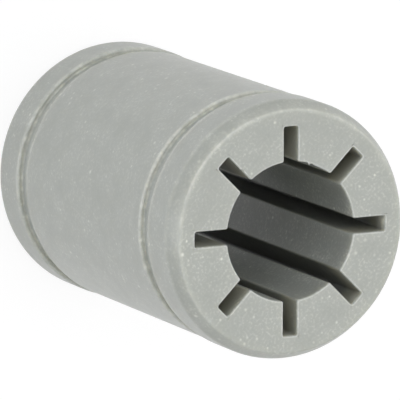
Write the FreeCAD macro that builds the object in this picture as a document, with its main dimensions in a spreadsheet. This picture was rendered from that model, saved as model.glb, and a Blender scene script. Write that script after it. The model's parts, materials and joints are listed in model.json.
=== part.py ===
"""Solid polymer linear bearing: a moulded sleeve that slides on a round shaft.

The sleeve stands on its end, with the bore along +Z and the origin at the
centre of its lower face. All sizes are in millimetres.
"""

import FreeCAD, Part
import math
import os

import Sketcher

# Driving sizes, with depths and lengths counted from the surface they are cut into
SIZES = {
    "shaft_diameter": 8.0,
    "running_clearance": 0.05,
    "seat_diameter": 15.0,
    "sleeve_length": 24.0,
    "lead_in_length": 0.9,
    "lead_in_depth": 0.47,
    "collar_length": 3.25,
    "ring_groove_width": 1.1,
    "ring_groove_depth": 0.35,
    "waist_relief": 0.07,
    "slot_count": 8,
    "slot_width": 0.9,
    "slot_floor_wall": 1.45,
    "slot_corner_round": 0.12,
    "land_edge_round": 0.12,
}

# Radii and heights that the sketches share, worked out from the driving sizes
BORE_RADIUS = "(Sizes.shaft_diameter + Sizes.running_clearance) / 2"
SEAT_RADIUS = "Sizes.seat_diameter / 2"
END_FACE_RADIUS = f"{SEAT_RADIUS} - Sizes.lead_in_depth"
RING_FLOOR_RADIUS = f"{SEAT_RADIUS} - Sizes.ring_groove_depth"
WAIST_RADIUS = f"{SEAT_RADIUS} - Sizes.waist_relief"
SLOT_FLOOR_RADIUS = f"{SEAT_RADIUS} - Sizes.slot_floor_wall"
SLOT_START_RADIUS = f"{BORE_RADIUS} / 2"
CLEAR_OF_SEAT = f"{SEAT_RADIUS} + Sizes.ring_groove_depth"
BASE = "0"
TOP = "Sizes.sleeve_length"
RING_OUTER_EDGE = "Sizes.collar_length"
RING_INNER_EDGE = "Sizes.collar_length + Sizes.ring_groove_width"
WAIST_TOP = f"{TOP} - ({RING_INNER_EDGE})"
RING_PITCH = f"{TOP} - 2 * {RING_OUTER_EDGE} - Sizes.ring_groove_width"

NODE = "bearing_sleeve"
TOLERANCE = 1e-6
ORIGIN_POINT = (-1, 1)
HORIZONTAL_AXIS = -1
START, END = 1, 2


def sizes_sheet(document):
    """Put the driving sizes into a sheet, each cell under its own name."""
    sheet = document.addObject("Spreadsheet::Sheet", "Sizes")
    for row, (name, size) in enumerate(SIZES.items(), start=1):
        sheet.set(f"A{row}", name)
        sheet.set(f"B{row}", str(size))
        sheet.setAlias(f"B{row}", name)
    document.recompute()
    return sheet


def origin_feature(body, role):
    """Return the body's own origin plane or axis that has this role."""
    return next(item for item in body.Origin.OriginFeatures if item.Role == role)


def new_sketch(body, name, plane):
    """Add an empty sketch on one of the body's origin planes."""
    sketch = body.newObject("Sketcher::SketchObject", name)
    sketch.AttachmentSupport = (origin_feature(body, plane), [""])
    sketch.MapMode = "FlatFace"
    return sketch


def closed_outline(sketch, points):
    """Draw straight lines through the points and back to the first one."""
    count = len(points)
    for index in range(count):
        start = FreeCAD.Vector(*points[index], 0)
        end = FreeCAD.Vector(*points[(index + 1) % count], 0)
        sketch.addGeometry(Part.LineSegment(start, end), False)
    for index in range(count):
        following = (index + 1) % count
        sketch.addConstraint(Sketcher.Constraint("Coincident", index, END, following, START))


def bind(sketch, name, kind, ends, expression):
    """Add a named dimension to a sketch and tie it to the sheet."""
    size = sketch.evalExpression(expression)
    index = sketch.addConstraint(Sketcher.Constraint(kind, *ends, size))
    sketch.renameConstraint(index, name)
    sketch.setExpression(f"Constraints.{name}", expression)


def section_sketch(body, name, corners):
    """Draw half a section in the XZ plane, each corner given as radius and height."""
    sketch = new_sketch(body, name, "XZ_Plane")
    points = [[sketch.evalExpression(text) for text in corner] for corner in corners]
    closed_outline(sketch, points)
    for index, (radius, height) in enumerate(corners):
        ends = (*ORIGIN_POINT, index, START)
        bind(sketch, f"radius_{index}", "DistanceX", ends, radius)
        if height == BASE:
            sketch.addConstraint(Sketcher.Constraint("PointOnObject", index, START, HORIZONTAL_AXIS))
        else:
            bind(sketch, f"height_{index}", "DistanceY", ends, height)
    return sketch


def turned(body, kind, name, sketch):
    """Add or cut a full turn of a half section about the bore axis."""
    feature = body.newObject(f"PartDesign::{kind}", name)
    feature.Profile = sketch
    feature.ReferenceAxis = (sketch, ["V_Axis"])
    feature.Angle = 360.0
    body.Document.recompute()
    return feature


def sleeve_blank(body):
    """Plain tube with a lead-in cone at each end."""
    corners = [
        (BORE_RADIUS, BASE),
        (END_FACE_RADIUS, BASE),
        (SEAT_RADIUS, "Sizes.lead_in_length"),
        (SEAT_RADIUS, f"{TOP} - Sizes.lead_in_length"),
        (END_FACE_RADIUS, TOP),
        (BORE_RADIUS, TOP),
    ]
    return turned(body, "Revolution", "sleeve_blank", section_sketch(body, "blank_section", corners))


def turned_groove(body, name, floor_radius, low, high):
    """Cut a square-sided groove into the seat between two heights."""
    corners = [
        (floor_radius, low),
        (CLEAR_OF_SEAT, low),
        (CLEAR_OF_SEAT, high),
        (floor_radius, high),
    ]
    return turned(body, "Groove", name, section_sketch(body, f"{name}_section", corners))


def second_ring_groove(body, first):
    """Repeat the ring groove towards the upper end, the same distance from it."""
    pattern = body.newObject("PartDesign::LinearPattern", "ring_grooves")
    pattern.Originals = [first]
    pattern.Direction = (origin_feature(body, "Z_Axis"), [""])
    pattern.Occurrences = 2
    pattern.setExpression("Length", RING_PITCH)
    body.Tip = pattern
    body.Document.recompute()
    return pattern


def bore_slot(body):
    """Cut one straight slot from the bore outwards, through the whole length."""
    sketch = new_sketch(body, "slot_outline", "XY_Plane")
    near = sketch.evalExpression(SLOT_START_RADIUS)
    far = sketch.evalExpression(SLOT_FLOOR_RADIUS)
    half = sketch.evalExpression("Sizes.slot_width / 2")
    lower_side, floor, upper_side, mouth = range(4)
    closed_outline(sketch, [(near, -half), (far, -half), (far, half), (near, half)])
    for side in (lower_side, upper_side):
        sketch.addConstraint(Sketcher.Constraint("Horizontal", side))
    sketch.addConstraint(Sketcher.Constraint("Vertical", mouth))
    sketch.addConstraint(Sketcher.Constraint("Symmetric", floor, START, floor, END, HORIZONTAL_AXIS))
    bind(sketch, "width", "DistanceY", (floor, START, floor, END), "Sizes.slot_width")
    bind(sketch, "floor_radius", "DistanceX", (*ORIGIN_POINT, floor, START), SLOT_FLOOR_RADIUS)
    bind(sketch, "start_radius", "DistanceX", (*ORIGIN_POINT, lower_side, START), SLOT_START_RADIUS)
    slot = body.newObject("PartDesign::Pocket", "bore_slot")
    slot.Profile = sketch
    slot.Type = "ThroughAll"
    slot.Reversed = True
    body.Document.recompute()
    return slot


def slot_ring(body, slot):
    """Repeat the slot evenly around the bore, which leaves a land between each two."""
    pattern = body.newObject("PartDesign::PolarPattern", "bore_slots")
    pattern.Originals = [slot]
    pattern.Axis = (origin_feature(body, "Z_Axis"), [""])
    pattern.Angle = 360.0
    pattern.setExpression("Occurrences", "Sizes.slot_count")
    body.Tip = pattern
    body.Document.recompute()
    return pattern


def upright_edges(shape, radius):
    """Name the straight edges along Z that lie at this distance from the bore axis."""
    names = []
    for number, edge in enumerate(shape.Edges, start=1):
        if edge.Curve.TypeId != "Part::GeomLine":
            continue
        foot, head = (vertex.Point for vertex in edge.Vertexes)
        upright = math.hypot(head.x - foot.x, head.y - foot.y) < TOLERANCE
        if upright and abs(math.hypot(foot.x, foot.y) - radius) < TOLERANCE:
            names.append(f"Edge{number}")
    return names


def rounded_edges(body, name, radius, size):
    """Round every upright edge at this distance from the bore axis."""
    base = body.Tip
    names = upright_edges(base.Shape, radius)
    if len(names) != 2 * body.evalExpression("Sizes.slot_count"):
        raise RuntimeError(f"{name}: {len(names)} edges found")
    feature = body.newObject("PartDesign::Fillet", name)
    feature.Base = (base, names)
    feature.setExpression("Radius", size)
    body.Tip = feature
    body.Document.recompute()
    return feature


def check_cut(feature, before):
    """Stop if a cutting feature has taken nothing off."""
    if feature.Shape.Volume > before.Shape.Volume - TOLERANCE:
        raise RuntimeError(f"{feature.Label} cuts nothing")


def bearing_sleeve(document):
    """Build the whole sleeve, which is moulded as one piece."""
    body = document.addObject("PartDesign::Body", NODE)
    body.Label = NODE
    blank = sleeve_blank(body)
    waist = turned_groove(body, "waist", WAIST_RADIUS, RING_INNER_EDGE, WAIST_TOP)
    check_cut(waist, blank)
    groove = turned_groove(body, "ring_groove", RING_FLOOR_RADIUS, RING_OUTER_EDGE, RING_INNER_EDGE)
    check_cut(groove, waist)
    grooves = second_ring_groove(body, groove)
    check_cut(grooves, groove)
    slot = bore_slot(body)
    check_cut(slot, grooves)
    slots = slot_ring(body, slot)
    check_cut(slots, slot)
    bore = body.evalExpression(BORE_RADIUS)
    floor = body.evalExpression(SLOT_FLOOR_RADIUS)
    corner = math.hypot(floor, body.evalExpression("Sizes.slot_width / 2"))
    rounded_edges(body, "land_edges", bore, "Sizes.land_edge_round")
    rounded_edges(body, "slot_corners", corner, "Sizes.slot_corner_round")
    return body


def check_document(document):
    """Stop if any object of the document failed to compute."""
    for item in document.Objects:
        if "Invalid" in item.State or "Error" in item.State:
            raise RuntimeError(f"{item.Label} failed: {item.State}")


def write_solid(body):
    """Write the body as one closed solid, in a file under its own name."""
    shape = body.Shape
    if shape.isNull() or not shape.isValid() or len(shape.Solids) != 1:
        raise RuntimeError(f"{body.Label} is not one valid solid")
    os.makedirs("parts", exist_ok=True)
    shape.exportStep(os.path.join("parts", f"{body.Label}.step"))
    print(f"{body.Label}: volume {shape.Volume:.3f} mm3, area {shape.Area:.3f} mm2, box {shape.BoundBox}")


def main():
    """Build the document, check it and write the solid."""
    document = FreeCAD.newDocument("linear_bearing")
    sizes_sheet(document)
    sleeve = bearing_sleeve(document)
    document.recompute()
    check_document(document)
    write_solid(sleeve)


main()
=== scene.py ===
"""Looks of a moulded polymer linear bearing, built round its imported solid.

The sleeve stands on its end with the bore along +Z. Its sizes come from the
frame's record where the record states them, and are in millimetres until the
mesh is written in metres.
"""

from __future__ import annotations

import json
import logging
import math
from dataclasses import dataclass, field, fields
from enum import Enum
from typing import Any, Mapping, Sequence

import bpy
import numpy as np
from mathutils import Matrix, Vector

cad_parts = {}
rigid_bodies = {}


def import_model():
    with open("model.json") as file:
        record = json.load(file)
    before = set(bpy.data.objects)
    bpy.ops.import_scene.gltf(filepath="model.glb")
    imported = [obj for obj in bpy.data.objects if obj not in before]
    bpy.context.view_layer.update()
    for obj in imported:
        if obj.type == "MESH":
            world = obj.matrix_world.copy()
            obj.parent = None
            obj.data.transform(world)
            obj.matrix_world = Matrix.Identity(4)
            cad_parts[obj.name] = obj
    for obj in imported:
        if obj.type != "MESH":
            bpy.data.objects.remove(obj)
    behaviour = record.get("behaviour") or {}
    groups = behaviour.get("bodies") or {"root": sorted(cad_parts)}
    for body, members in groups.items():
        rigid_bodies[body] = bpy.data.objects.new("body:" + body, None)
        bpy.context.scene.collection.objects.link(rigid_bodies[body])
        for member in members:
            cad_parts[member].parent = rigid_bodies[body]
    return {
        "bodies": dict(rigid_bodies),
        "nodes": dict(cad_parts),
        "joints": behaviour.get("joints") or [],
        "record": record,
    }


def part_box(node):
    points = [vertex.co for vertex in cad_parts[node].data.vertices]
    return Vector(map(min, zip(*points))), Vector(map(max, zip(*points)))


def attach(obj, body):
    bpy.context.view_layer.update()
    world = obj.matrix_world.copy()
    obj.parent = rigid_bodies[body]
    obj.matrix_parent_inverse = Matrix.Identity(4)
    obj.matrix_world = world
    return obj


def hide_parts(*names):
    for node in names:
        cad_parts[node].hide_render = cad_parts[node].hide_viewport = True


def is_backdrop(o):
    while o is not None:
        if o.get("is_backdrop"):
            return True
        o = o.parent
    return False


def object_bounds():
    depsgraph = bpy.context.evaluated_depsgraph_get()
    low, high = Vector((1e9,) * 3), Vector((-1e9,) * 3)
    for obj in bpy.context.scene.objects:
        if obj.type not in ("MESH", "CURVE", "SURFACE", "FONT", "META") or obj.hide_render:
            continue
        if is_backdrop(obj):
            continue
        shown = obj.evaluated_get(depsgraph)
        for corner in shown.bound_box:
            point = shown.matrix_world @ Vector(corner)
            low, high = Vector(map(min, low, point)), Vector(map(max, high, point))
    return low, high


log = logging.getLogger("linear_bearing")

MM = 0.001
FULL_TURN = 2.0 * math.pi
NODE = "bearing_sleeve"
BODY = "root"
# Paleness of edges: partly wear, partly painted highlight and painted light.
WEAR_AND_LIGHT_ATTRIBUTE = "edge_wear"
FILLER_ATTRIBUTE = "open_filler"
# Painted shade deep in the slots.
PAINTED_SHADE_ATTRIBUTE = "bare_resin"
WHITE = "#FFFFFF"
COOL_WHITE = "#F5F7FF"
LONGEST_END_STEP = 0.25
NARROW_REACH = 0.09
WIDE_REACH = 2.0

Array = np.ndarray
Tree = bpy.types.NodeTree
Socket = bpy.types.NodeSocket
Layer = tuple[Socket, str]


@dataclass(frozen=True)
class EdgeWearAndLight:
    """How an edge is chipped and paled, by wear and by painted highlight and light, on average round
    the sleeve.

    The paleness goes from nought to one. The depth of the chips and the reach
    of the paleness beside the edge's round are in millimetres.
    """

    pale: float
    chip: float = 0.0
    reach: float = NARROW_REACH


class Edge(Enum):
    """Kinds of edge, each with its chips and its paleness from wear and painted light."""

    # Slot mouth: painted highlight. Groove roots: painted light that lifts the groove floors' shade.
    # Lips and face rim: partly chipped and rubbed wear, partly painted highlight; the rim's paleness
    # carries over the lead-in cone.
    SHOULDER = EdgeWearAndLight(0.12)
    SLOT_MOUTH = EdgeWearAndLight(0.7)
    GROOVE_LIP = EdgeWearAndLight(0.6, chip=0.05)
    FOOT_LIP = EdgeWearAndLight(0.36, chip=0.05)
    GROOVE_BROW = EdgeWearAndLight(0.0, chip=0.04)
    GROOVE_ROOT = EdgeWearAndLight(0.5)
    FOOT_ROOT = EdgeWearAndLight(1.0, reach=WIDE_REACH)
    FACE_RIM = EdgeWearAndLight(0.32, chip=0.03, reach=WIDE_REACH)


class Skin(Enum):
    """Kinds of surface; the value is how openly the filler shows in each one."""

    END_FACE = 1.0
    BORE = 1.4
    OUTSIDE = 0.70


class Aim(Enum):
    """Directions that the lamps come from, as bearing and height in degrees."""

    LOW = (318.0, 4.0)
    SIDE = (264.0, 42.0)
    HIGH = (128.0, 72.0)


def linear_colour(code: str) -> tuple[float, float, float, float]:
    """Turn an sRGB hex colour into linear light.

    Args:
        code: Six hex digits after a hash sign.

    Returns:
        Linear red, green and blue, with an alpha of one.
    """
    channels = np.array([int(code[i:i + 2], 16) for i in (1, 3, 5)]) / 255.0
    low = channels / 12.92
    high = ((channels + 0.055) / 1.055) ** 2.4
    red, green, blue = np.where(channels <= 0.04045, low, high).tolist()
    return red, green, blue, 1.0


def add_node(tree: Tree, kind: str, inputs: Mapping[Any, Any] | None = None,
             **settings: Any) -> bpy.types.Node:
    """Add a shader node with its settings, values and links.

    Args:
        tree: The node tree that takes the node.
        kind: Blender's name for the kind of node.
        inputs: Values or output sockets by input name or number.
        settings: Properties of the node itself.

    Returns:
        The new node.
    """
    node = tree.nodes.new(kind)
    for name, value in settings.items():
        setattr(node, name, value)
    for key, value in (inputs or {}).items():
        if isinstance(value, Socket):
            tree.links.new(value, node.inputs[key])
        else:
            node.inputs[key].default_value = value
    return node


def looked_at(tree: Tree) -> Socket:
    """Tell rays that look from those that light.

    Args:
        tree: The node tree of the floor or the sky.

    Returns:
        A socket that is one for what the camera sees, straight or by way of
        gloss or glass, and zero for light that falls on the sleeve.
    """
    path = add_node(tree, "ShaderNodeLightPath")
    mirrored = add_node(tree, "ShaderNodeMath", {
        0: path.outputs["Is Glossy Ray"], 1: path.outputs["Is Transmission Ray"],
    }, operation="MAXIMUM")
    seen = add_node(tree, "ShaderNodeMath", {
        0: path.outputs["Is Camera Ray"], 1: mirrored.outputs["Value"],
    }, operation="MAXIMUM")
    return seen.outputs["Value"]


def empty_tree(owner: bpy.types.Material | bpy.types.World) -> Tree:
    """Turn on nodes and take away those that are there from the start.

    Args:
        owner: The material or sky that has them.

    Returns:
        Its node tree.
    """
    owner.use_nodes = True
    owner.node_tree.nodes.clear()
    return owner.node_tree


def direction(bearing: float, height: float) -> Vector:
    """Unit vector towards a bearing from +X and a height above the floor, in radians."""
    level = math.cos(height)
    return Vector((level * math.cos(bearing), level * math.sin(bearing), math.sin(height)))


def spokes(angle: Array) -> Array:
    """Unit vectors at angles from +X in radians, one a row."""
    return np.stack([np.cos(angle), np.sin(angle)], axis=1)


def spaced(length: float, margin: float, inner: int) -> Array:
    """Shares of a stretch from 0 up to, and not with, 1; short end steps keep its middle flat."""
    share = min(margin / length, LONGEST_END_STEP)
    return np.concatenate([[0.0], np.linspace(share, 1.0 - share, inner + 1)])


def arc_points(centre: Sequence[float], radius: float, start: float, end: float,
               steps: int) -> tuple[Array, Array]:
    """Points on a circular arc and their directions from its centre.

    Args:
        centre: Centre of the arc in its plane.
        radius: Radius in millimetres.
        start: First angle in radians.
        end: Last angle in radians, which is left out.
        steps: Number of points.

    Returns:
        Points and unit directions, one a row.
    """
    outward = spokes(np.linspace(start, end, steps, endpoint=False))
    return np.asarray(centre) + radius * outward, outward


def line_points(start: Sequence[float], end: Sequence[float], margin: float,
                inner: int) -> Array:
    """Points along a straight stretch, from its start up to and not with its end.

    Args:
        start: First end of the stretch.
        end: Other end of the stretch.
        margin: Length of the short end steps in millimetres.
        inner: Number of equal steps between them.

    Returns:
        Points, one a row.
    """
    first = np.asarray(start, dtype=float)
    span = np.asarray(end, dtype=float) - first
    share = spaced(float(np.linalg.norm(span)), margin, inner)
    return first + share[:, None] * span


@dataclass(frozen=True)
class Ripple:
    """Fine unevenness along closed edges, as a sum of waves of unlike length.

    Each wave has a whole number of periods on its edge, so that its ends meet.
    Lengths are in millimetres.
    """

    shortest: float
    longest: float
    waves: int = 12
    seed: int = 7

    def along(self, columns: int, length: float, lanes: int) -> Array:
        """Heights of the ripple at evenly spaced places.

        Args:
            columns: Number of places on each edge.
            length: Length of an edge.
            lanes: Number of edges, each with a ripple of its own.

        Returns:
            Values of either sign, seldom beyond one, by edge and place.
        """
        draw = np.random.default_rng(self.seed)
        size = (lanes, self.waves, 1)
        fewest = round(length / self.longest)
        most = round(length / self.shortest)
        periods = draw.integers(fewest, most, size, endpoint=True)
        start = draw.uniform(0.0, FULL_TURN, size)
        angle = FULL_TURN * periods * np.arange(columns) / columns + start
        return np.sin(angle).sum(axis=1) / math.sqrt(2.0 * self.waves)


@dataclass(frozen=True)
class Burr:
    """A scrap of flash on the bore's upper mouth, or a nick where its reach is negative.

    The bearing is in degrees from +X, and lengths are in millimetres.
    """

    bearing: float
    distance: float
    width: float
    reach: float

    def push(self, outline: Array) -> Array:
        """How far the flash carries each point of the outline into the opening.

        The push is a bell over the distance from the burr's place.

        Args:
            outline: Points of the opening's outline.

        Returns:
            One length for each point.
        """
        angle = math.radians(self.bearing)
        place = self.distance * np.array([math.cos(angle), math.sin(angle)])
        away = np.linalg.norm(outline - place, axis=1)
        return self.reach * np.exp(-(away / self.width) ** 2)


@dataclass(frozen=True)
class SlottedBore:
    """Opening of the sleeve: a round bore with straight slots between its lands.

    Sizes are in millimetres. Slots are centred on every whole share of a turn,
    the first one on +X.
    """

    radius: float
    slot_floor_radius: float
    slot_count: int = 8
    slot_width: float = 0.9
    land_round: float = 0.12
    corner_round: float = 0.12
    # Distance behind a land over which the painted slot shade comes in.
    bare_from: float = 0.03
    margin: float = 0.06
    land_steps: int = 12
    wall_steps: int = 20
    floor_steps: int = 5
    round_steps: int = 4
    burrs: tuple[Burr, ...] = (
        Burr(bearing=-151.7, distance=4.0, width=0.075, reach=0.17),
        Burr(bearing=-148.9, distance=4.0, width=0.10, reach=-0.05),
        Burr(bearing=-154.0, distance=4.0, width=0.12, reach=-0.04),
        Burr(bearing=-160.5, distance=4.0, width=0.70, reach=0.085),
        Burr(bearing=-94.6, distance=5.0, width=0.09, reach=0.09),
        Burr(bearing=-95.2, distance=4.84, width=0.10, reach=-0.09),
    )

    def half_slot(self) -> tuple[Array, Array]:
        """Outline from the middle of a land to the middle of a slot floor.

        The stretch runs along the land at the bore radius, round the land's
        edge on a circle that touches both bore and slot wall, along the wall
        parallel to the slot's middle line, round the floor's corner and along
        the floor.

        Returns:
            Points and unit normals into the moulding, for the lower half of
            the slot on +X.
        """
        half = self.slot_width / 2.0
        reach = self.radius + self.land_round
        round_y = half + self.land_round
        round_x = math.sqrt(reach**2 - round_y**2)
        land_end = math.asin(round_y / reach)
        half_pitch = math.pi / self.slot_count
        half_land = half_pitch - land_end
        share = spaced(self.radius * half_land, self.margin, self.land_steps)
        land_out = spokes(-half_pitch + share * half_land)
        land = self.radius * land_out
        edge, edge_out = arc_points((round_x, -round_y), self.land_round,
                                    math.pi - land_end, math.pi / 2.0, self.round_steps)
        corner_x = self.slot_floor_radius - self.corner_round
        wall = line_points((round_x, -half), (corner_x, -half), self.margin, self.wall_steps)
        corner, corner_out = arc_points((corner_x, self.corner_round - half), self.corner_round,
                                        -math.pi / 2.0, 0.0, self.round_steps)
        floor = line_points((self.slot_floor_radius, self.corner_round - half),
                            (self.slot_floor_radius, half - self.corner_round),
                            self.margin, self.floor_steps)
        floor = floor[floor[:, 1] < 0.0]
        points = np.concatenate([land, edge, wall, corner, floor])
        normals = np.concatenate([
            land_out,
            -edge_out,
            np.tile([0.0, -1.0], (len(wall), 1)),
            corner_out,
            np.tile([1.0, 0.0], (len(floor), 1)),
        ])
        return points, normals

    def slot_share(self, outline: Array) -> Array:
        """Share of slot in each point of the outline: nought on the lands, one on slot walls."""
        behind = np.linalg.norm(outline, axis=1) - self.radius
        return np.clip(behind / self.bare_from, 0.0, 1.0)

    def floor_share(self, outline: Array) -> Array:
        """Share of slot floor in each point of the outline, which grows round the corners."""
        before = self.slot_floor_radius - np.linalg.norm(outline, axis=1)
        return np.clip(1.0 - before / self.corner_round, 0.0, 1.0)

    def outline(self) -> tuple[Array, Array]:
        """Whole outline, counter-clockwise, with normals into the moulding.

        Each slot is its lower half and that half mirrored, and the slots are
        one slot turned by equal shares of a turn.

        Returns:
            Points and unit normals, one a row.
        """
        points, normals = self.half_slot()
        mirror = np.array([1.0, -1.0])
        slot_points = np.concatenate([points, points[:0:-1] * mirror])
        slot_normals = np.concatenate([normals, normals[:0:-1] * mirror])
        turn = FULL_TURN / self.slot_count * np.arange(self.slot_count)
        cosine, sine = np.cos(turn), np.sin(turn)
        turned = np.array([[cosine, -sine], [sine, cosine]]).transpose(2, 0, 1)
        whole = np.einsum("kij,nj->kni", turned, slot_points).reshape(-1, 2)
        outward = np.einsum("kij,nj->kni", turned, slot_normals).reshape(-1, 2)
        return whole, outward

    def flash(self, outline: Array) -> Array:
        """Push of all burrs on each point of the outline, in millimetres."""
        return sum(burr.push(outline) for burr in self.burrs)


@dataclass(frozen=True)
class Rows:
    """Rows of the sleeve's grid, with one entry a row; lengths are in millimetres.

    Attributes:
        share: Share of the outer circle in the row, where nought is the opening.
        offset: Offset of the opening's outline into the moulding.
        radius: Radius of the outer circle.
        height: Height above the foot.
        pale: How far the row is paled, by wear and by painted highlight and light.
        filler: How openly the filler shows.
        sunk: How deep the row lies in the slots, where one is deep; it sets the painted shade.
        tip: How far the slots' floors are painted paler in the row, as light glowing through.
        burr: Share of the mouth's burrs that the row follows.
        chip_out: How far a full chip moves the row outwards.
        chip_up: How far a full chip moves the row up.
        lane: Which edge's chips the row follows.
    """

    share: Array
    offset: Array
    radius: Array
    height: Array
    pale: Array
    filler: Array
    sunk: Array
    tip: Array
    burr: Array
    chip_out: Array
    chip_up: Array
    lane: Array

    @classmethod
    def of(cls, height: Array, **columns: Any) -> Rows:
        """Make rows at the given heights, where what isn't given is nought.

        Args:
            height: Heights, one a row.
            columns: Other columns, each as an array or as one number for all rows.

        Returns:
            The rows.
        """
        given = {"height": height, **columns}
        return cls(**{
            column.name: np.broadcast_to(np.asarray(given.get(column.name, 0.0), float), len(height))
            for column in fields(cls)
        })

    @classmethod
    def joined(cls, parts: Sequence[Rows]) -> Rows:
        """Put stretches of rows one after another."""
        return cls(**{
            column.name: np.concatenate([getattr(part, column.name) for part in parts])
            for column in fields(cls)
        })

    def at_foot(self, length: float) -> Rows:
        """The same rows at the other end of the sleeve, in reverse and without burrs.

        Args:
            length: Length of the sleeve.

        Returns:
            The mirrored rows.
        """
        columns = {column.name: getattr(self, column.name)[::-1] for column in fields(self)}
        columns["height"] = length - columns["height"]
        columns["burr"] = 0.0 * columns["burr"]
        return Rows(**columns)


@dataclass(frozen=True)
class Corner:
    """One corner of the turned outside, in millimetres."""

    radius: float
    height: float
    rounding: float
    edge: Edge


@dataclass(frozen=True)
class TurnedOutside:
    """Outside of the sleeve: lead-in cones, collars, ring grooves and waist.

    Sizes are in millimetres. Both ends have the same ones, and differ only in
    how their groove has rounded and paled. A straight stretch has a row at each
    of two margins beside a corner, which on a short stretch are the shares of
    its length that the crowded margins give.
    """

    length: float
    seat_radius: float
    lead_in_length: float
    groove_floor_radius: float
    groove_width: float
    collar_length: float
    lead_in_depth: float = 0.47
    waist_relief: float = 0.07
    rim_round: float = 0.15
    shoulder_round: float = 0.5
    groove_brow_round: float = 0.12
    groove_lip_round: float = 0.16
    groove_root_round: float = 0.11
    margins: tuple[float, float] = (0.06, NARROW_REACH)
    crowded_margins: tuple[float, float] = (0.2, 0.4)
    round_steps: int = 3

    def end_corners(self, top: bool) -> list[Corner]:
        """Corners of one end, from its face to the waist.

        A groove's lip, which looks up, is softer than its brow and paler, partly
        by wear and partly by painted highlight. The lower groove's lip is the
        fainter one, and its floor is painted paler towards the brow, as painted
        light that lifts its shade.

        Args:
            top: Whether it is the upper end.

        Returns:
            The corners in that order.
        """
        brow = (self.groove_brow_round, Edge.GROOVE_BROW)
        lip = (self.groove_lip_round, Edge.GROOVE_LIP if top else Edge.FOOT_LIP)
        near, far = (brow, lip) if top else (lip, brow)
        groove_far = self.collar_length + self.groove_width
        waist_radius = self.seat_radius - self.waist_relief
        near_root = (self.groove_root_round, Edge.GROOVE_ROOT)
        far_root = (self.groove_root_round, Edge.GROOVE_ROOT if top else Edge.FOOT_ROOT)
        steps = [
            (self.seat_radius - self.lead_in_depth, 0.0, self.rim_round, Edge.FACE_RIM),
            (self.seat_radius, self.lead_in_length, self.shoulder_round, Edge.SHOULDER),
            (self.seat_radius, self.collar_length, *near),
            (self.groove_floor_radius, self.collar_length, *near_root),
            (self.groove_floor_radius, groove_far, *far_root),
            (waist_radius, groove_far, *far),
        ]
        return [
            Corner(radius, self.length - depth if top else depth, rounding, edge)
            for radius, depth, rounding, edge in steps
        ]

    def rounded(self, lane: int, before: Array, corner: Corner, after: Array) -> Rows:
        """Rows of one corner, as an arc that touches both of its sides.

        The arc's centre lies on the bisector, at the rounding over the sine of
        the half angle. Chips and paleness are deepest in its middle.

        Args:
            lane: Number of the corner.
            before: Radius and height of the corner before.
            corner: The corner.
            after: Radius and height of the corner after.

        Returns:
            The rows of the arc.
        """
        point = np.array([corner.radius, corner.height])
        back = (before - point) / np.linalg.norm(before - point)
        ahead = (after - point) / np.linalg.norm(after - point)
        half_angle = math.acos(float(np.clip(back @ ahead, -1.0, 1.0))) / 2.0
        bisector = (back + ahead) / np.linalg.norm(back + ahead)
        centre = point + bisector * corner.rounding / math.sin(half_angle)
        spoke = point + back * corner.rounding / math.tan(half_angle) - centre
        leftward = back[1] * ahead[0] - back[0] * ahead[1]
        turn = math.copysign(math.pi - 2.0 * half_angle, leftward)
        angle = np.linspace(0.0, turn, self.round_steps + 1)
        bell = np.sin(np.linspace(0.0, math.pi, len(angle)))
        return Rows.of(
            centre[1] + np.sin(angle) * spoke[0] + np.cos(angle) * spoke[1],
            share=1.0,
            radius=centre[0] + np.cos(angle) * spoke[0] - np.sin(angle) * spoke[1],
            pale=corner.edge.value.pale * (1.0 + bell) / 2.0,
            filler=Skin.OUTSIDE.value,
            chip_out=corner.edge.value.chip * bisector[0] * bell,
            chip_up=corner.edge.value.chip * bisector[1] * bell,
            lane=lane,
        )

    def flat(self, before: Rows, after: Rows, edges: tuple[Edge, Edge]) -> Rows:
        """Rows of the straight stretch between two rounded corners.

        Paleness fades in a straight line over the reach of each corner's edge,
        and the chips' places along the edge go on as they are in that corner.

        Args:
            before: Rows of the corner before.
            after: Rows of the corner after.
            edges: Kinds of edge of the two corners.

        Returns:
            Rows close to each corner, and none between.
        """
        first = np.array([before.radius[-1], before.height[-1]])
        span = np.array([after.radius[0], after.height[0]]) - first
        length = float(np.linalg.norm(span))
        near = np.minimum(self.margins, length * np.array(self.crowded_margins))
        distance = np.concatenate([near, length - near[::-1]])
        point = first + distance[:, None] / length * span
        fading, growing = (np.clip(1.0 - near / edge.value.reach, 0.0, 1.0) for edge in edges)
        return Rows.of(
            point[:, 1],
            share=1.0,
            radius=point[:, 0],
            pale=np.concatenate([before.pale[-1] * fading, after.pale[0] * growing[::-1]]),
            filler=Skin.OUTSIDE.value,
            lane=np.repeat([before.lane[-1], after.lane[0]], len(near)),
        )

    def rows(self, face_start: float) -> Rows:
        """Rows of the outside, from the upper end face to the lower one.

        Args:
            face_start: Radius on the end faces where the first and last
                stretches begin, which gives those corners their direction.

        Returns:
            The rows of the arcs and of the straight stretches between them.
        """
        corners = self.end_corners(top=True) + self.end_corners(top=False)[::-1]
        path = np.array([[face_start, self.length]]
                        + [[corner.radius, corner.height] for corner in corners]
                        + [[face_start, 0.0]])
        arcs = [
            self.rounded(lane, path[lane], corner, path[lane + 2])
            for lane, corner in enumerate(corners)
        ]
        edges = [corner.edge for corner in corners]
        parts = [arcs[0]]
        for before, after, pair in zip(arcs, arcs[1:], zip(edges, edges[1:])):
            parts += [self.flat(before, after, pair), after]
        return Rows.joined(parts)


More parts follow.
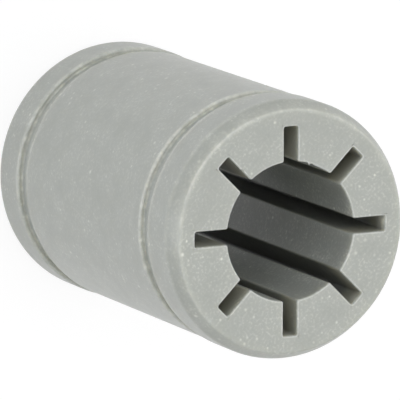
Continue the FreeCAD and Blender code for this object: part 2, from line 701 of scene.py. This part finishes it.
@dataclass(frozen=True)
class Grains:
    """One size of filler grain under the skin, in millimetres.

    The grains are soft spots in a share of the cells of a cell pattern, and no
    two are alike in size. The small ones are also the faint ones. The softness
    is the share of the largest radius over which a spot fades out.
    """

    spacing: float
    radius: float
    share: float
    strength: float
    softness: float = 0.8

    def mask(self, tree: Tree, place: Socket) -> Socket:
        """Add the grains' nodes.

        Args:
            tree: The material's node tree.
            place: Object coordinates.

        Returns:
            A socket that is the strength inside a grain and zero outside.
        """
        cells = add_node(tree, "ShaderNodeTexVoronoi", {
            "Vector": place, "Scale": 1.0 / (self.spacing * MM),
        })
        chance = add_node(tree, "ShaderNodeSeparateColor", {"Color": cells.outputs["Color"]})
        limit = add_node(tree, "ShaderNodeMapRange", {
            "Value": chance.outputs["Red"],
            "From Min": 1.0 - self.share,
            "To Max": self.radius / self.spacing,
        })
        inside = add_node(tree, "ShaderNodeMath", {
            0: limit.outputs["Result"], 1: cells.outputs["Distance"],
        }, operation="SUBTRACT")
        spot = add_node(tree, "ShaderNodeMapRange", {
            "Value": inside.outputs["Value"],
            "From Max": self.softness * self.radius / self.spacing,
            "To Max": self.strength,
        })
        return spot.outputs["Result"]


@dataclass(frozen=True)
class SoftNoise:
    """A soft, cloudy pattern, with its size in millimetres.

    The limits are the noise's values between which the pattern goes from the
    first end of its span to the other.
    """

    size: float
    limits: tuple[float, float]
    span: tuple[float, float]
    detail: float = 1.0

    def mask(self, tree: Tree, place: Socket) -> Socket:
        """Add the pattern's nodes.

        Args:
            tree: The material's node tree.
            place: Object coordinates.

        Returns:
            A socket with values in the span.
        """
        noise = add_node(tree, "ShaderNodeTexNoise", {
            "Vector": place, "Scale": 1.0 / (self.size * MM), "Detail": self.detail,
        })
        shown = add_node(tree, "ShaderNodeMapRange", {
            "Value": noise.outputs["Fac"],
            "From Min": self.limits[0],
            "From Max": self.limits[1],
            "To Min": self.span[0],
            "To Max": self.span[1],
        })
        return shown.outputs["Result"]


@dataclass(frozen=True)
class FilledPolymer:
    """Injection-moulded grey acetal blend with solid lubricant.

    The eye sees a dull, slightly warm grey with scattered pale flecks of
    filler, a faint cloudiness from the flow of the melt, light that bleeds a
    little through thin edges, and paler edges, partly rubbed and chipped and
    partly painted highlight and painted light. Deep in the slots the colour is
    painted darker as shade, where no filler shows, and between that and the
    mouths it is painted warmer and paler as light that bleeds in.

    Sizes are in millimetres, and a noise is its size and detail. The limits are
    the values of the clouds' noise between which the skin goes from one grey to
    the other, and those between which the filler goes from sparse to dense. The
    finest filler is too small to tell grain from grain.
    """

    name: str = "moulded_filled_polymer"
    skin: str = "#B1B4AD"
    cloud: str = "#A8ABA4"
    fleck: str = "#E4E6DC"
    # Pale edges: partly rubbed and chipped wear, partly painted highlight and painted light.
    rubbed: str = "#E6E7DC"
    # Painted shade deep in the slots.
    bare_resin: str = "#858780"
    # Painted warm light near the slots' mouths, as light bleeding through.
    thin_resin: str = "#AAA58C"
    thin_share: float = 1.5
    ior: float = 1.50
    roughness: float = 0.38
    roughness_spread: float = 0.10
    translucence: float = 0.90
    bleed_length: float = 1.30
    bleed_tint: tuple[float, float, float] = (1.0, 0.93, 0.78)
    cloud_noise: tuple[float, float] = (1.3, 3.0)
    cloud_limits: tuple[float, float] = (0.3, 0.7)
    mottle_noise: tuple[float, float] = (0.32, 1.0)
    mottle_share: float = 0.4
    mottle_depth: float = 0.002
    patch_limits: tuple[float, float] = (0.35, 0.65)
    patch_span: tuple[float, float] = (0.4, 1.4)
    rubbing: SoftNoise = SoftNoise(size=0.7, limits=(0.35, 0.68), span=(0.3, 1.2), detail=3.0)
    filler: tuple[SoftNoise | Grains, ...] = (
        SoftNoise(size=0.16, limits=(0.5, 0.8), span=(0.0, 0.30)),
        Grains(spacing=0.36, radius=0.12, share=0.6, strength=0.70),
        Grains(spacing=0.90, radius=0.16, share=0.8, strength=0.95),
    )

    def material(self) -> bpy.types.Material:
        """Build the material from its fields.

        The skin's colour goes through the layers in turn, each of which mixes
        its own colour in by its share.

        Returns:
            A material that reads Object coordinates and the sleeve's attributes.
        """
        material = bpy.data.materials.new(self.name)
        tree = empty_tree(material)
        place = add_node(tree, "ShaderNodeTexCoord").outputs["Object"]
        openness = add_node(tree, "ShaderNodeAttribute",
                            attribute_name=FILLER_ATTRIBUTE).outputs["Fac"]
        cloud, mottle = (
            add_node(tree, "ShaderNodeTexNoise", {
                "Vector": place, "Scale": 1.0 / (size * MM), "Detail": detail,
            }).outputs["Fac"]
            for size, detail in (self.cloud_noise, self.mottle_noise)
        )
        colour = self.cloudy_skin(tree, openness, cloud, mottle)
        layers = [
            *self.flecks(tree, place, openness, cloud),
            *self.resin(tree),
            self.rubbed_edges(tree, place),
        ]
        for share, code in layers:
            colour = add_node(tree, "ShaderNodeMix", {
                "Factor": share, "A": colour, "B": linear_colour(code),
            }, data_type="RGBA").outputs["Result"]
        dullness = add_node(tree, "ShaderNodeMapRange", {
            "Value": mottle,
            "To Min": self.roughness - self.roughness_spread,
            "To Max": self.roughness + self.roughness_spread,
        })
        bump = add_node(tree, "ShaderNodeBump", {
            "Height": mottle, "Distance": self.mottle_depth * MM,
        })
        shader = add_node(tree, "ShaderNodeBsdfPrincipled", {
            "Base Color": colour,
            "Roughness": dullness.outputs["Result"],
            "IOR": self.ior,
            "Subsurface Weight": self.translucence,
            "Subsurface Radius": self.bleed_tint,
            "Subsurface Scale": self.bleed_length * MM,
            "Normal": bump.outputs["Normal"],
        })
        add_node(tree, "ShaderNodeOutputMaterial", {"Surface": shader.outputs["BSDF"]})
        return material

    def cloudy_skin(self, tree: Tree, openness: Socket, cloud: Socket, mottle: Socket) -> Socket:
        """Colour of the skin under its filler, clouded and finely mottled.

        Args:
            tree: The material's node tree.
            openness: How openly the filler shows.
            cloud: Noise of the clouds.
            mottle: Noise of the mottle, which shows where the filler is open.

        Returns:
            A colour between the two greys of the skin.
        """
        mottled = add_node(tree, "ShaderNodeMath", {
            0: openness, 1: self.mottle_share,
        }, operation="MULTIPLY")
        uneven = add_node(tree, "ShaderNodeMix", {
            "Factor": mottled.outputs["Value"], "A": cloud, "B": mottle,
        })
        spread = add_node(tree, "ShaderNodeMapRange", {
            "Value": uneven.outputs["Result"],
            "From Min": self.cloud_limits[0],
            "From Max": self.cloud_limits[1],
        })
        colour = add_node(tree, "ShaderNodeMix", {
            "Factor": spread.outputs["Result"],
            "A": linear_colour(self.cloud),
            "B": linear_colour(self.skin),
        }, data_type="RGBA")
        return colour.outputs["Result"]

    def flecks(self, tree: Tree, place: Socket, openness: Socket, cloud: Socket) -> list[Layer]:
        """Flecks of each kind of filler, which show more in some patches.

        Args:
            tree: The material's node tree.
            place: Object coordinates.
            openness: How openly the filler shows.
            cloud: Noise of the clouds, which the patches follow.

        Returns:
            One layer for each kind of filler.
        """
        patchy = add_node(tree, "ShaderNodeMapRange", {
            "Value": cloud,
            "From Min": self.patch_limits[0],
            "From Max": self.patch_limits[1],
            "To Min": self.patch_span[0],
            "To Max": self.patch_span[1],
        })
        uncovered = add_node(tree, "ShaderNodeMath", {
            0: openness, 1: patchy.outputs["Result"],
        }, operation="MULTIPLY")
        shown = [
            add_node(tree, "ShaderNodeMath", {
                0: kind.mask(tree, place), 1: uncovered.outputs["Value"],
            }, operation="MULTIPLY")
            for kind in self.filler
        ]
        return [(node.outputs["Value"], self.fleck) for node in shown]

    def resin(self, tree: Tree) -> list[Layer]:
        """Painted shade deep in the slots, and painted warm light between it and the mouth.

        The warm light's share is the shade's share times what is left unshaded,
        so it is strongest half-way.

        Args:
            tree: The material's node tree.

        Returns:
            The layers of the painted shade and of the painted warm light.
        """
        painted_shade = add_node(tree, "ShaderNodeAttribute", attribute_name=PAINTED_SHADE_ATTRIBUTE)
        unshaded = add_node(tree, "ShaderNodeMath", {
            0: 1.0, 1: painted_shade.outputs["Fac"],
        }, operation="SUBTRACT")
        between = add_node(tree, "ShaderNodeMath", {
            0: painted_shade.outputs["Fac"], 1: unshaded.outputs["Value"],
        }, operation="MULTIPLY")
        # Painted warm light, strongest half-way between the mouth and the painted shade.
        warm_light_share = add_node(tree, "ShaderNodeMath", {
            0: between.outputs["Value"], 1: self.thin_share,
        }, operation="MULTIPLY")
        return [(painted_shade.outputs["Fac"], self.bare_resin), (warm_light_share.outputs["Value"], self.thin_resin)]

    def rubbed_edges(self, tree: Tree, place: Socket) -> Layer:
        """Paler edges, partly worn and partly painted highlight and light, broken up along their
        length.

        Args:
            tree: The material's node tree.
            place: Object coordinates.

        Returns:
            A layer whose share is the edge's paleness times an uneven break-up.
        """
        edge_paleness = add_node(tree, "ShaderNodeAttribute", attribute_name=WEAR_AND_LIGHT_ATTRIBUTE)
        mask = add_node(tree, "ShaderNodeMath", {
            0: edge_paleness.outputs["Fac"], 1: self.rubbing.mask(tree, place),
        }, operation="MULTIPLY")
        return mask.outputs["Value"], self.rubbed


@dataclass
class BearingSleeve:
    """The whole moulding as one closed surface, grid-like round and along.

    One parameter runs round the opening's outline, and the other runs up the
    bore, over the upper face, down the outside and back over the lower face.
    Sizes are in millimetres, and the outside is painted paler towards a
    bearing, in degrees from +X, as painted light on that side. The band is a
    painted pale highlight on the face round the mouth: its places are shares
    of its width, with the paleness left at each.
    """

    bore: SlottedBore
    outside: TurnedOutside
    finish: FilledPolymer = field(default_factory=FilledPolymer)
    chips: Ripple = Ripple(shortest=0.4, longest=2.5)
    worn_evenly: float = 0.6
    worn_by_chips: float = 0.3
    # Painted light: the outside is paler towards this bearing and darker away from it.
    worn_bearing: float = 254.0
    worn_on_side: float = 1.0
    mouth_round: float = 0.06
    mouth_steps: int = 3
    mouth_fading: int = 8
    band_width: float = 0.05
    band_places: tuple[float, ...] = (0.6, 1.0)
    band_paleness: tuple[float, ...] = (0.9, 0.0)
    # Depth over which the painted shade grows in the slots.
    bare_depth: float = 2.0
    # Depth over which the painted glow of the slot floors fades.
    tip_depth: float = 1.0
    bore_steps: int = 7
    face_steps: int = 2
    margin: float = 0.06

    @classmethod
    def from_frame(cls, frame: Mapping[str, Any], slot_floor_wall: float = 1.45) -> BearingSleeve:
        """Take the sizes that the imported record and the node's box state.

        Args:
            slot_floor_wall: Wall between a slot's floor and the seat.

        Returns:
            A sleeve with the frame's sizes.
        """
        low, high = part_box(NODE)
        length = (high.z - low.z) / MM
        mounts = {mount["name"]: mount for mount in frame["record"]["mounts"]}
        seat = mounts["housing_seat"]["dims"]
        groove = mounts["upper_ring_groove"]
        groove_middle = groove["pos_m"][2] / MM
        outside = TurnedOutside(
            length=length,
            seat_radius=seat["r_mm"],
            lead_in_length=(length - seat["length_mm"]) / 2.0,
            groove_floor_radius=groove["dims"]["r_mm"],
            groove_width=groove["dims"]["length_mm"],
            collar_length=length - groove_middle - groove["dims"]["length_mm"] / 2.0,
        )
        bore = SlottedBore(
            radius=mounts["shaft_bore"]["dims"]["r_mm"],
            slot_floor_radius=seat["r_mm"] - slot_floor_wall,
        )
        return cls(bore=bore, outside=outside)

    def mouth_rows(self) -> Rows:
        """Rows of the upper mouth: a small round, then a band of painted highlight on the face.

        On the round, the paleness is a high power of the sine of how far it
        has turned, so that it stays near the face.

        Returns:
            The rows from the bore's wall to the inner edge of the face.
        """
        length = self.outside.length
        angle = np.linspace(0.0, math.pi / 2.0, self.mouth_steps + 1)
        turned = np.sin(angle)
        edge = Rows.of(
            length - self.mouth_round * (1.0 - turned),
            offset=self.mouth_round * (1.0 - np.cos(angle)),
            pale=Edge.SLOT_MOUTH.value.pale * turned**self.mouth_fading,
            filler=Skin.BORE.value,
            burr=turned,
        )
        # Painted highlight: a pale band of face round the mouth.
        across = np.array(self.band_places)
        band = Rows.of(
            np.full(len(across), length),
            offset=self.mouth_round + self.band_width * across,
            pale=Edge.SLOT_MOUTH.value.pale * np.array(self.band_paleness),
            filler=Skin.END_FACE.value,
            burr=1.0 - across,
        )
        return Rows.joined([edge, band])

    def rows(self) -> Rows:
        """Rows of the grid, round the closed loop.

        The steps along the bore grow by equal ratios from each mouth to the
        middle. Painted shade grows with the depth from the nearer mouth, and the
        painted glow of the slots' floors fades with it.

        Returns:
            The bore's wall, the upper face, the outside and the lower face.
        """
        length = self.outside.length
        outer = self.outside.rows(self.bore.slot_floor_radius)
        depth = np.geomspace(self.margin, length / 2.0 - self.mouth_round, self.bore_steps)
        rise = np.concatenate([depth, 2.0 * depth[-1] - depth[-2::-1]])
        inside = np.concatenate([depth, depth[-2::-1]])
        wall = Rows.of(
            self.mouth_round + rise,
            filler=Skin.BORE.value,
            sunk=np.clip(inside / self.bare_depth, 0.0, 1.0),
            tip=np.clip(1.0 - inside / self.tip_depth, 0.0, 1.0),
        )
        face_radius = outer.radius[0]
        share = spaced(face_radius - self.bore.slot_floor_radius, self.margin, self.face_steps)[1:]
        face = Rows.of(
            np.full(len(share), length),
            share=share,
            offset=self.mouth_round + self.band_width,
            radius=face_radius,
            filler=Skin.END_FACE.value,
        )
        upper = Rows.joined([self.mouth_rows(), face])
        lower = upper.at_foot(length)
        return Rows.joined([wall, upper, outer, lower])

    def grid(self) -> tuple[Array, dict[str, Array]]:
        """Points of the grid and the values that the finish reads at them.

        A point is the opening's outline, offset along its normal and pushed out
        by burrs, blended towards a circle whose points are evenly spaced. Chips
        cut into the circle's edges where their ripple is positive, and a
        chipped edge is paler there. Paleness outside also follows the cosine of
        the angle from one bearing, as painted light on that side. Deep in the
        slots the colour is painted darker as shade and no filler shows, and just
        inside the mouths their floors are painted paler as light glowing through.

        Returns:
            Points in metres by row and column, and each attribute's values.
        """
        rows = self.rows()
        outline, normals = self.bore.outline()
        columns = len(outline)
        first = math.atan2(outline[0, 1], outline[0, 0])
        angle = first + FULL_TURN * np.arange(columns) / columns
        circle = spokes(angle)
        lanes = int(rows.lane.max()) + 1
        ripple = self.chips.along(columns, FULL_TURN * self.outside.seat_radius, lanes)
        chip = np.maximum(ripple, 0.0)[rows.lane.astype(int)]
        radius = rows.radius[:, None] + rows.chip_out[:, None] * chip
        height = rows.height[:, None] + rows.chip_up[:, None] * chip
        offset = rows.offset[:, None] - rows.burr[:, None] * self.bore.flash(outline)
        share = rows.share[:, None, None]
        opening = outline + offset[:, :, None] * normals
        flat = (1.0 - share) * opening + share * radius[:, :, None] * circle
        # Painted shade: the colour darkens with depth in the slots, where no filler shows.
        painted_shade = rows.sunk[:, None] * self.bore.slot_share(outline)
        # Painted light: paleness outside grows towards one bearing.
        side = self.worn_on_side * np.cos(angle - math.radians(self.worn_bearing))
        edges = rows.pale[:, None] * (1.0 + rows.share[:, None] * side)
        # Painted light: slot floors are paler just inside the mouths.
        floor_glow_share = rows.tip[:, None] * self.bore.floor_share(outline)
        values = {
            WEAR_AND_LIGHT_ATTRIBUTE: (edges + floor_glow_share) * (self.worn_evenly + self.worn_by_chips * chip),
            FILLER_ATTRIBUTE: rows.filler[:, None] * (1.0 - painted_shade),
            PAINTED_SHADE_ATTRIBUTE: painted_shade,
        }
        return np.concatenate([flat, height[:, :, None]], axis=2) * MM, values

    def mesh(self) -> bpy.types.Mesh:
        """Write the grid as quads that close on themselves both ways.

        Returns:
            A smooth mesh with paleness, filler and bare resin as attributes of
            its points.
        """
        points, values = self.grid()
        count, columns = points.shape[:2]
        number = np.arange(count * columns).reshape(count, columns)
        below = np.roll(number, -1, axis=0)
        quads = np.stack([
            number, below, np.roll(below, -1, axis=1), np.roll(number, -1, axis=1),
        ], axis=2).reshape(-1, 4)
        mesh = bpy.data.meshes.new("moulded_sleeve")
        mesh.vertices.add(count * columns)
        mesh.vertices.foreach_set("co", points.reshape(-1).astype(np.float32))
        mesh.loops.add(quads.size)
        mesh.loops.foreach_set("vertex_index", quads.reshape(-1).astype(np.int32))
        mesh.polygons.add(len(quads))
        mesh.polygons.foreach_set("loop_start", np.arange(0, quads.size, 4, dtype=np.int32))
        mesh.update(calc_edges=True)
        mesh.shade_smooth()
        for name, value in values.items():
            attribute = mesh.attributes.new(name, "FLOAT", "POINT")
            attribute.data.foreach_set("value", value.reshape(-1).astype(np.float32))
        mesh.validate()
        return mesh

    def build(self) -> bpy.types.Object:
        """Make the sleeve, dress it and set it on its body.

        Returns:
            The finished piece, in place of the solid.
        """
        mesh = self.mesh()
        mesh.materials.append(self.finish.material())
        sleeve = bpy.data.objects.new("moulded_sleeve", mesh)
        bpy.context.scene.collection.objects.link(sleeve)
        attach(sleeve, BODY)
        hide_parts(NODE)
        return sleeve


@dataclass(frozen=True)
class PaleFloor:
    """White studio floor that the sleeve stands on, in metres.

    The camera sees it almost white by its own glow, and a share of its plain
    reflection keeps the sleeve's soft shadow. What lies under the sleeve's foot
    lights the far end of the bore as a weakly lit card would.
    """

    radius: float = 2.0
    segments: int = 96
    bounce: str = "#EEEEEE"
    seen: str = "#737373"
    glow: float = 0.87
    card_tint: str = "#EEF0FF"
    card_glow: float = 0.72
    card_radius: float = 0.0068

    def material(self) -> bpy.types.Material:
        """White for light that bounces, and glowing for what looks at it.

        Returns:
            The floor's material.
        """
        material = bpy.data.materials.new("matt_white_card")
        tree = empty_tree(material)
        plain = add_node(tree, "ShaderNodeBsdfDiffuse", {"Color": linear_colour(self.bounce)})
        shaded = add_node(tree, "ShaderNodeBsdfDiffuse", {"Color": linear_colour(self.seen)})
        glowing = add_node(tree, "ShaderNodeEmission", {"Strength": self.glow})
        bright = add_node(tree, "ShaderNodeAddShader", {
            0: shaded.outputs["BSDF"], 1: glowing.outputs["Emission"],
        })
        place = add_node(tree, "ShaderNodeTexCoord").outputs["Object"]
        distance = add_node(tree, "ShaderNodeVectorMath", {0: place}, operation="LENGTH")
        under = add_node(tree, "ShaderNodeMath", {
            0: distance.outputs["Value"], 1: self.card_radius,
        }, operation="LESS_THAN")
        card = add_node(tree, "ShaderNodeEmission", {
            "Color": linear_colour(self.card_tint), "Strength": self.card_glow,
        })
        lighting = add_node(tree, "ShaderNodeMixShader", {
            0: under.outputs["Value"], 1: plain.outputs["BSDF"], 2: card.outputs["Emission"],
        })
        surface = add_node(tree, "ShaderNodeMixShader", {
            0: looked_at(tree), 1: lighting.outputs["Shader"], 2: bright.outputs["Shader"],
        })
        add_node(tree, "ShaderNodeOutputMaterial", {"Surface": surface.outputs["Shader"]})
        return material

    def build(self) -> bpy.types.Object:
        """Make the floor as one flat disc and mark it as stage.

        Returns:
            The floor.
        """
        angle = FULL_TURN * np.arange(self.segments) / self.segments
        rim = self.radius * np.stack([np.cos(angle), np.sin(angle), 0.0 * angle], axis=1)
        mesh = bpy.data.meshes.new("studio_floor")
        mesh.from_pydata(rim.tolist(), [], [list(range(self.segments))])
        mesh.materials.append(self.material())
        floor = bpy.data.objects.new("studio_floor", mesh)
        bpy.context.scene.collection.objects.link(floor)
        floor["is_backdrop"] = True
        return floor


@dataclass(frozen=True)
class SoftLamp:
    """A square soft box that looks at the sleeve, in metres and watts."""

    aim: Aim
    power: float
    tint: str = WHITE
    side: float = 0.30
    distance: float = 0.35

    def build(self, target: Vector) -> bpy.types.Object:
        """Place the lamp and turn it to the target.

        Args:
            target: The point that it looks at.

        Returns:
            The lamp.
        """
        away = direction(*(math.radians(angle) for angle in self.aim.value))
        data = bpy.data.lights.new(f"{self.aim.name.lower()}_soft_box", "AREA")
        data.shape = "SQUARE"
        data.size = self.side
        data.energy = self.power
        data.color = linear_colour(self.tint)[:3]
        lamp = bpy.data.objects.new(data.name, data)
        lamp.location = target + away * self.distance
        lamp.rotation_mode = "QUATERNION"
        lamp.rotation_quaternion = away.to_track_quat("Z", "Y")
        bpy.context.scene.collection.objects.link(lamp)
        return lamp


@dataclass(frozen=True)
class Viewpoint:
    """Where the photograph was taken from: a long lens, high over the end face.

    Angles are in degrees: the azimuth from +X round +Z, the elevation above
    the floor, and the roll of the camera's top towards its level right. Lens
    and sensor are in millimetres, the distance and the point that the camera
    looks at are in metres, and the clip ends are multiples of the distance.
    """

    azimuth: float = -67.79
    elevation: float = 61.78
    roll: float = -110.51
    distance: float = 0.4006
    focal_length: float = 619.25
    sensor_width: float = 36.0
    aim: tuple[float, float, float] = (0.0000371, 0.0002366, 0.0121068)
    clip_ends: tuple[float, float] = (0.1, 20.0)

    def build(self) -> bpy.types.Object:
        """Make the camera and give it to the scene.

        Returns:
            The camera.
        """
        roll = math.radians(self.roll)
        back = direction(math.radians(self.azimuth), math.radians(self.elevation))
        level_right = Vector((0.0, 0.0, 1.0)).cross(back).normalized()
        level_up = back.cross(level_right)
        up = math.cos(roll) * level_up + math.sin(roll) * level_right
        right = up.cross(back)
        turn = Matrix((right, up, back)).transposed().to_4x4()
        data = bpy.data.cameras.new("photo_camera")
        data.lens = self.focal_length
        data.sensor_width = self.sensor_width
        data.clip_start, data.clip_end = (self.distance * end for end in self.clip_ends)
        camera = bpy.data.objects.new("photo_camera", data)
        camera.matrix_world = Matrix.Translation(Vector(self.aim) + back * self.distance) @ turn
        bpy.context.scene.collection.objects.link(camera)
        bpy.context.scene.camera = camera
        return camera


@dataclass(frozen=True)
class Studio:
    """Floor, even sky and soft boxes round the sleeve."""

    sky: float = 0.413
    floor: PaleFloor = field(default_factory=PaleFloor)
    lamps: tuple[SoftLamp, ...] = (
        SoftLamp(Aim.LOW, power=0.235, tint=COOL_WHITE, side=0.06),
        SoftLamp(Aim.SIDE, power=0.310, tint=COOL_WHITE),
        SoftLamp(Aim.HIGH, power=0.582),
    )

    def build(self, target: Vector) -> None:
        """Make the floor, the sky and the lamps.

        Args:
            target: The point that the lamps look at.
        """
        self.floor.build()
        world = bpy.data.worlds.new("even_sky")
        tree = empty_tree(world)
        strength = add_node(tree, "ShaderNodeMapRange", {
            "Value": looked_at(tree), "To Min": self.sky, "To Max": 1.0,
        })
        glow = add_node(tree, "ShaderNodeBackground", {
            "Color": linear_colour(WHITE), "Strength": strength.outputs["Result"],
        })
        add_node(tree, "ShaderNodeOutputWorld", {"Surface": glow.outputs["Background"]})
        bpy.context.scene.world = world
        for lamp in self.lamps:
            lamp.build(target)
        bpy.context.scene.view_settings.view_transform = "Standard"


def main() -> None:
    """Load the frame, build the sleeve and light it."""
    logging.basicConfig(level=logging.INFO, format="%(name)s: %(message)s")
    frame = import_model()
    solid_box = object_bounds()
    sleeve = BearingSleeve.from_frame(frame).build()
    log.info("%s: %d points, %d faces", sleeve.name, len(sleeve.data.vertices),
             len(sleeve.data.polygons))
    middle = (solid_box[0] + solid_box[1]) / 2.0
    Studio().build(middle)
    Viewpoint().build()


if __name__ == "__main__":
    main()
